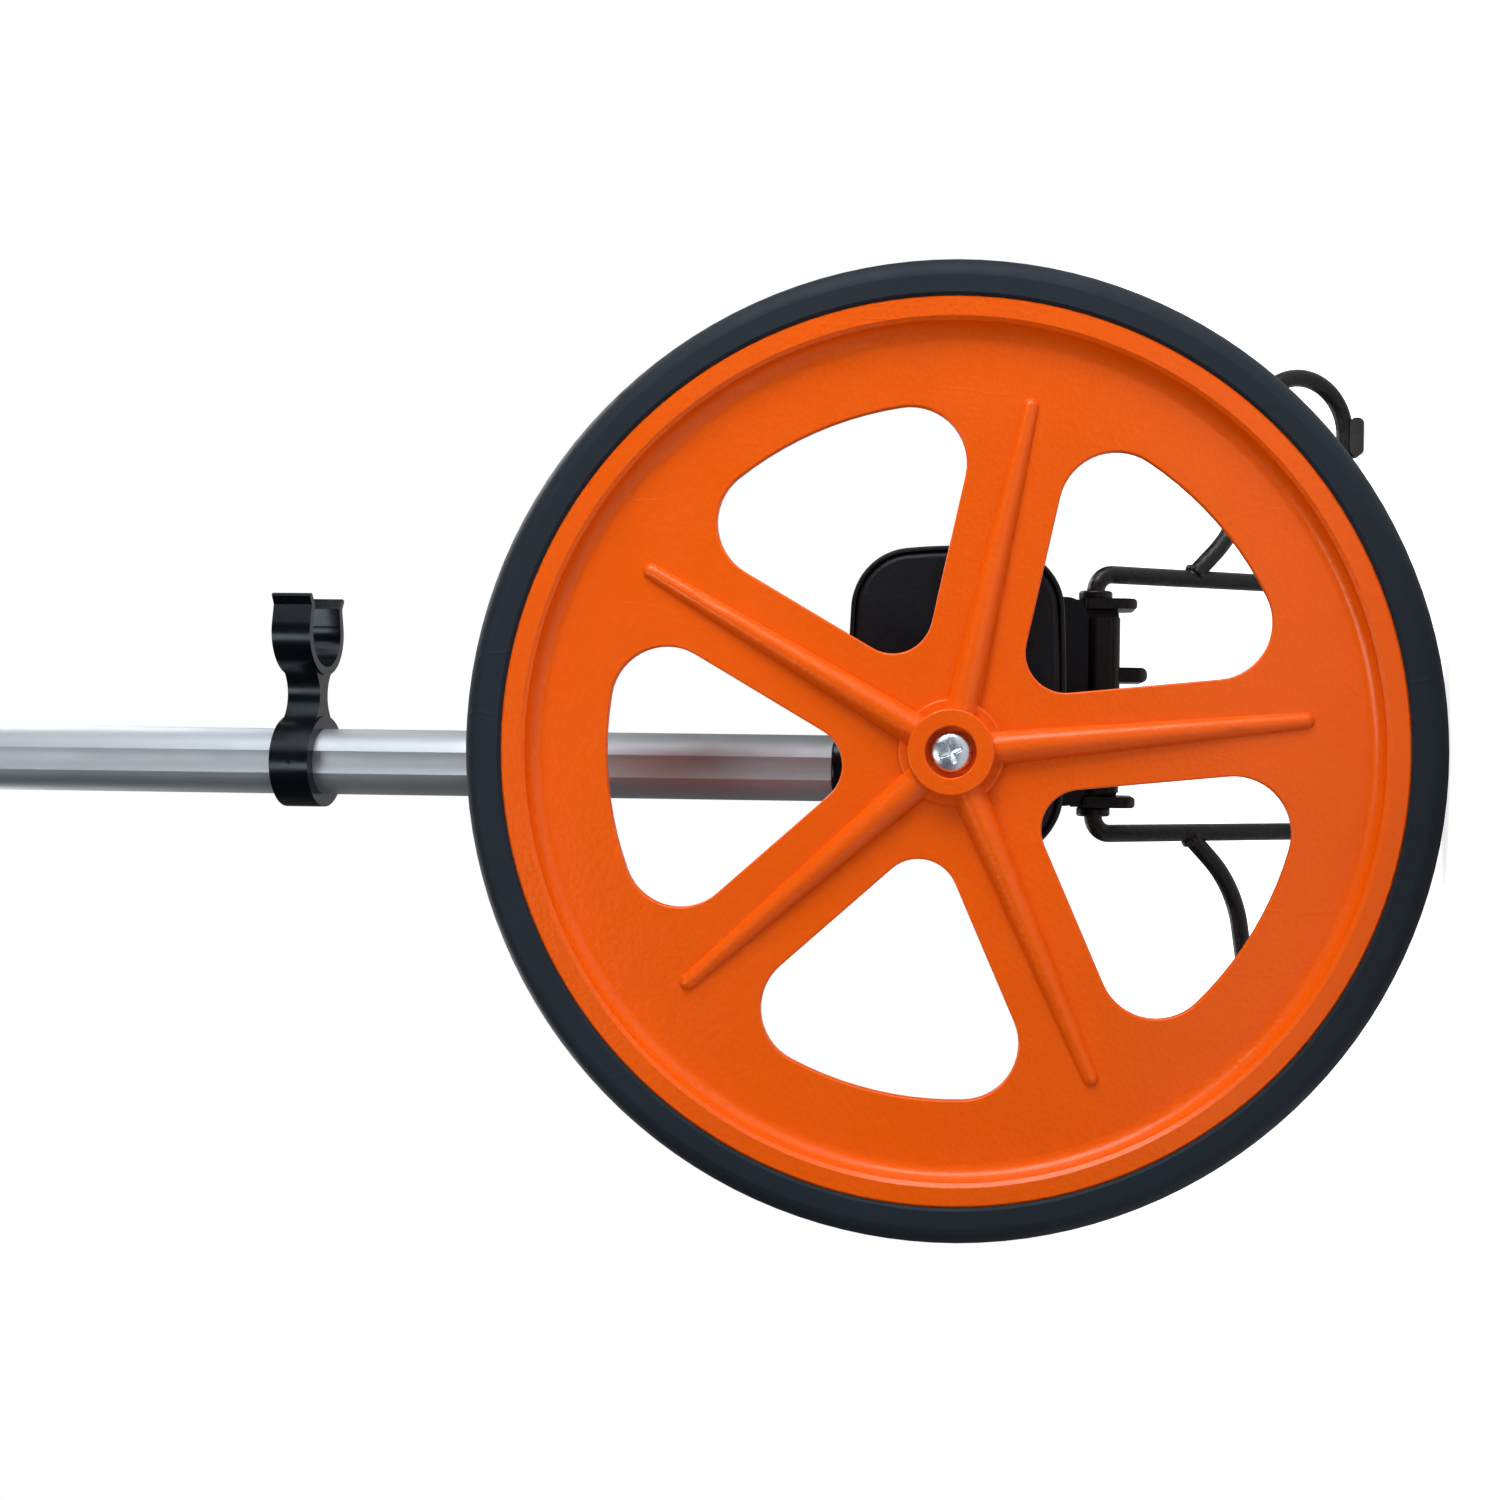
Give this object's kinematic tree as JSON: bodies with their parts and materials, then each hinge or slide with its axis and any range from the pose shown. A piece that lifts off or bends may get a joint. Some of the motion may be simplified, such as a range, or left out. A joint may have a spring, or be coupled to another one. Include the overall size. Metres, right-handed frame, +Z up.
{
  "type": "measuring wheel",
  "caption": "Upright surveyor's measuring wheel with an orange spoked wheel, black counter housing, folding aluminium handle with storage clip, and a wire stand.",
  "frame": {"origin": "centre of the bounding box, on the ground plane", "axes": "+Z up along the handle, +Y along the axle from the wheel to the stand, +X across the handle towards the open side of the storage clip"},
  "size_m": [0.3183, 0.1596, 1],
  "materials": {
    "tyre_rubber": "smooth moulded rubber, faint mould texture",
    "orange_plastic": "satin moulded plastic, finely grained",
    "case_plastic": "black plastic with a fine sparked grain",
    "clip_plastic": "smooth black plastic",
    "tube_aluminium": "satin anodised extrusion with fine lengthwise lines",
    "shaft_steel": "turned steel",
    "zinc_steel": "bright zinc plated steel",
    "bush_bronze": "oiled sintered bronze",
    "gear_plastic": "natural engineering plastic",
    "drum_plastic": "black drums with light numerals",
    "window_clear": "clear lens",
    "bracket_paint": "satin black powder coat",
    "wire_paint": "rough black powder coat",
    "grip_rubber": "soft ribbed grip",
    "pad_rubber": "dull black rubber"
  },
  "bodies": {
    "root": {"idler_stud": "shaft_steel", "gear_plate": "zinc_steel", "front_bush": "bush_bronze", "rear_bush": "bush_bronze", "counter_frame": "gear_plastic", "carry_shaft": "shaft_steel", "front_cover": "case_plastic", "front_housing": "case_plastic", "rear_housing": "case_plastic", "counter_window": "window_clear", "reset_spring": "shaft_steel", "tube_socket": "clip_plastic", "socket_screw": "zinc_steel", "lower_tube": "tube_aluminium", "lower_knuckle": "case_plastic", "hinge_pin": "shaft_steel", "storage_clip": "clip_plastic", "stand_bracket": "bracket_paint", "case_screw_1": "zinc_steel", "case_screw_2": "zinc_steel", "case_screw_3": "zinc_steel", "case_screw_4": "zinc_steel", "bracket_screw_1": "zinc_steel", "bracket_screw_2": "zinc_steel", "plate_screw_1": "zinc_steel", "plate_screw_2": "zinc_steel", "plate_screw_3": "zinc_steel"},
    "wheel": {"tyre": "tyre_rubber", "wheel_disc": "orange_plastic", "wheel_shaft": "shaft_steel", "hub_washer": "zinc_steel", "hub_screw": "zinc_steel", "snap_ring": "shaft_steel", "drive_gear": "gear_plastic"},
    "idler": {"idler_gear": "gear_plastic"},
    "counter_1": {"counter_gear": "gear_plastic", "counter_shaft": "shaft_steel", "digit_drum_1": "drum_plastic"},
    "counter_2": {"digit_drum_2": "drum_plastic"},
    "counter_3": {"digit_drum_3": "drum_plastic"},
    "counter_4": {"digit_drum_4": "drum_plastic"},
    "counter_5": {"digit_drum_5": "drum_plastic"},
    "carry_1": {"carry_pinion_1": "gear_plastic"},
    "carry_2": {"carry_pinion_2": "gear_plastic"},
    "carry_3": {"carry_pinion_3": "gear_plastic"},
    "carry_4": {"carry_pinion_4": "gear_plastic"},
    "reset": {"reset_button": "orange_plastic"},
    "release": {"release_button": "orange_plastic"},
    "upper_handle": {"upper_knuckle": "case_plastic", "upper_tube": "tube_aluminium", "handle_grip": "grip_rubber", "grip_cap": "case_plastic"},
    "stand": {"stand_frame": "wire_paint", "stand_leg_right": "wire_paint", "stand_leg_left": "wire_paint", "foot_pad_right": "pad_rubber", "foot_pad_left": "pad_rubber", "pivot_collar_right": "bracket_paint", "pivot_collar_left": "bracket_paint"}
  },
  "joints": [
    {"name": "wheel_spin", "type": "hinge", "parent": "root", "child": "wheel", "pos_m": [0, -0.0598, 0.15915], "axis": [0, 1, 0], "continuous": true},
    {"name": "idler_spin", "type": "hinge", "parent": "root", "child": "idler", "pos_m": [0.019, -0.0408, 0.1654], "axis": [0, 1, 0], "continuous": true},
    {"name": "counter_1_spin", "type": "hinge", "parent": "root", "child": "counter_1", "pos_m": [0.038, -0.0248, 0.17164], "axis": [0, 1, 0], "continuous": true},
    {"name": "counter_2_spin", "type": "hinge", "parent": "root", "child": "counter_2", "pos_m": [0.038, -0.0186, 0.17164], "axis": [0, 1, 0], "continuous": true},
    {"name": "counter_3_spin", "type": "hinge", "parent": "root", "child": "counter_3", "pos_m": [0.038, -0.013, 0.17164], "axis": [0, 1, 0], "continuous": true},
    {"name": "counter_4_spin", "type": "hinge", "parent": "root", "child": "counter_4", "pos_m": [0.038, -0.0074, 0.17164], "axis": [0, 1, 0], "continuous": true},
    {"name": "counter_5_spin", "type": "hinge", "parent": "root", "child": "counter_5", "pos_m": [0.038, -0.0018, 0.17164], "axis": [0, 1, 0], "continuous": true},
    {"name": "carry_1_spin", "type": "hinge", "parent": "root", "child": "carry_1", "pos_m": [0.038, -0.0215, 0.15424], "axis": [0, 1, 0], "continuous": true},
    {"name": "carry_2_spin", "type": "hinge", "parent": "root", "child": "carry_2", "pos_m": [0.038, -0.0159, 0.15424], "axis": [0, 1, 0], "continuous": true},
    {"name": "carry_3_spin", "type": "hinge", "parent": "root", "child": "carry_3", "pos_m": [0.038, -0.0103, 0.15424], "axis": [0, 1, 0], "continuous": true},
    {"name": "carry_4_spin", "type": "hinge", "parent": "root", "child": "carry_4", "pos_m": [0.038, -0.0047, 0.15424], "axis": [0, 1, 0], "continuous": true},
    {"name": "handle_fold", "type": "hinge", "parent": "root", "child": "upper_handle", "pos_m": [0.0165, -0.0098, 0.62], "axis": [0, 1, 0], "range_deg": [0, 180]},
    {"name": "stand_fold", "type": "hinge", "parent": "root", "child": "stand", "pos_m": [0.0183, 0.0272, 0.1091], "axis": [1, 0, 0], "range_deg": [0, 146]},
    {"name": "reset_press", "type": "slide", "parent": "root", "child": "reset", "axis": [0, 0, -1], "range_m": [0, 0.003], "stiffness_N_per_m": 400, "springref_m": -0.001, "deforming": ["reset_spring"]},
    {"name": "release_press", "type": "slide", "parent": "root", "child": "release", "axis": [0, 1, 0], "range_m": [0, 0.002], "stiffness_N_per_m": 400, "springref_m": -0.001}
  ],
  "couplings": [
    {"joint": "idler_spin", "follows": "wheel_spin", "ratio": -1},
    {"joint": "counter_1_spin", "follows": "wheel_spin", "ratio": 1},
    {"joint": "counter_2_spin", "follows": "wheel_spin", "ratio": 0.1},
    {"joint": "counter_3_spin", "follows": "wheel_spin", "ratio": 0.01},
    {"joint": "counter_4_spin", "follows": "wheel_spin", "ratio": 0.001},
    {"joint": "counter_5_spin", "follows": "wheel_spin", "ratio": 0.0001},
    {"joint": "carry_1_spin", "follows": "wheel_spin", "ratio": -0.25},
    {"joint": "carry_2_spin", "follows": "wheel_spin", "ratio": -0.025},
    {"joint": "carry_3_spin", "follows": "wheel_spin", "ratio": -0.0025},
    {"joint": "carry_4_spin", "follows": "wheel_spin", "ratio": -0.00025}
  ]
}
